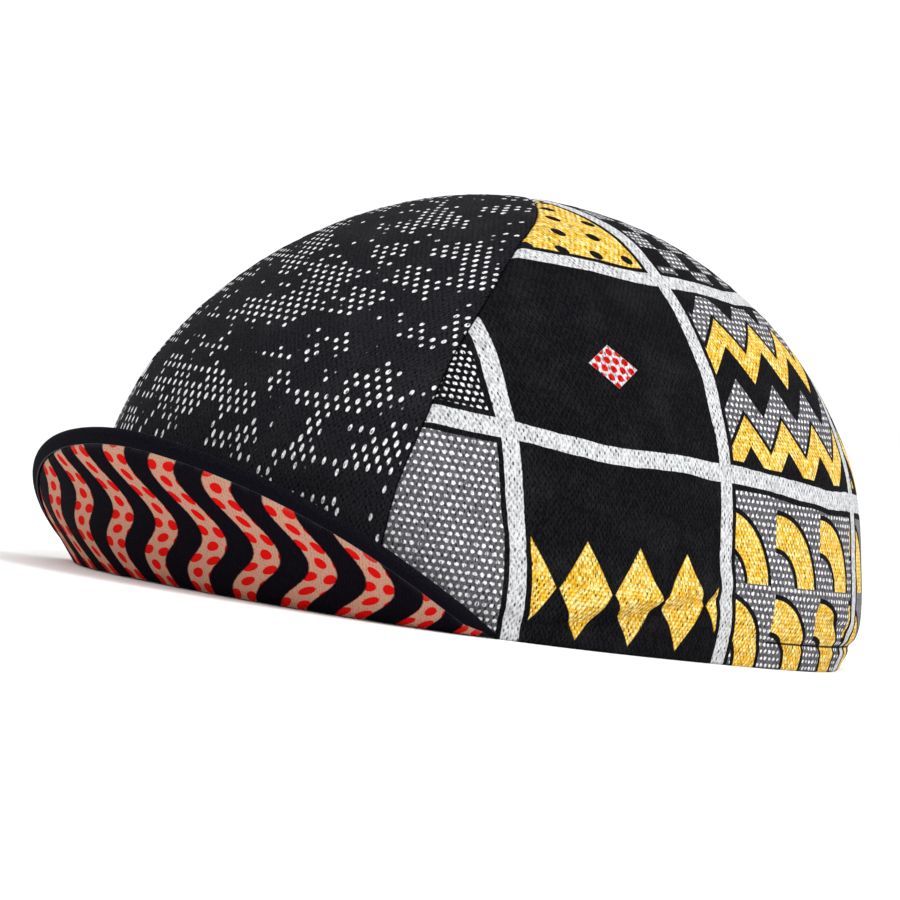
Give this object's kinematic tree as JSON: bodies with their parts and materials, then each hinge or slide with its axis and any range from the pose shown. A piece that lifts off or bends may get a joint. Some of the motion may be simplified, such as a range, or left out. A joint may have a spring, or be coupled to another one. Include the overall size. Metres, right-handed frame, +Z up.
{
  "type": "cycling cap",
  "caption": "Soft cycling cap of printed jersey in four panels, resting on its rim, with a short peak turned up at the front and a terry sweatband inside.",
  "frame": {"origin": "on the surface that the rim rests on, under the middle of the whole cap's box, peak included", "axes": "+Z up, -Y towards the peak at the front, +X towards the wearer's left side"},
  "size_m": [0.1642, 0.2316, 0.106],
  "materials": {
    "jersey_dots": "fine eyelet knit, black with white dots",
    "jersey_panels": "fine eyelet knit, black with a white, grey and yellow geometric print",
    "peak_cover": "plain black jersey with a sewn edge",
    "peak_print": "smooth woven print, salmon with red dots and black bands",
    "terry": "pale blue-grey terry",
    "tape": "smooth white tape with a dark running stitch"
  },
  "bodies": {
    "root": {"crown_front": "jersey_dots", "crown_left": "jersey_panels", "crown_right": "jersey_panels", "crown_back": "jersey_dots", "peak_top": "peak_cover", "peak_underside": "peak_print", "sweatband": "terry", "sweatband_tape": "tape", "rear_hem": "tape"}
  },
  "joints": []
}
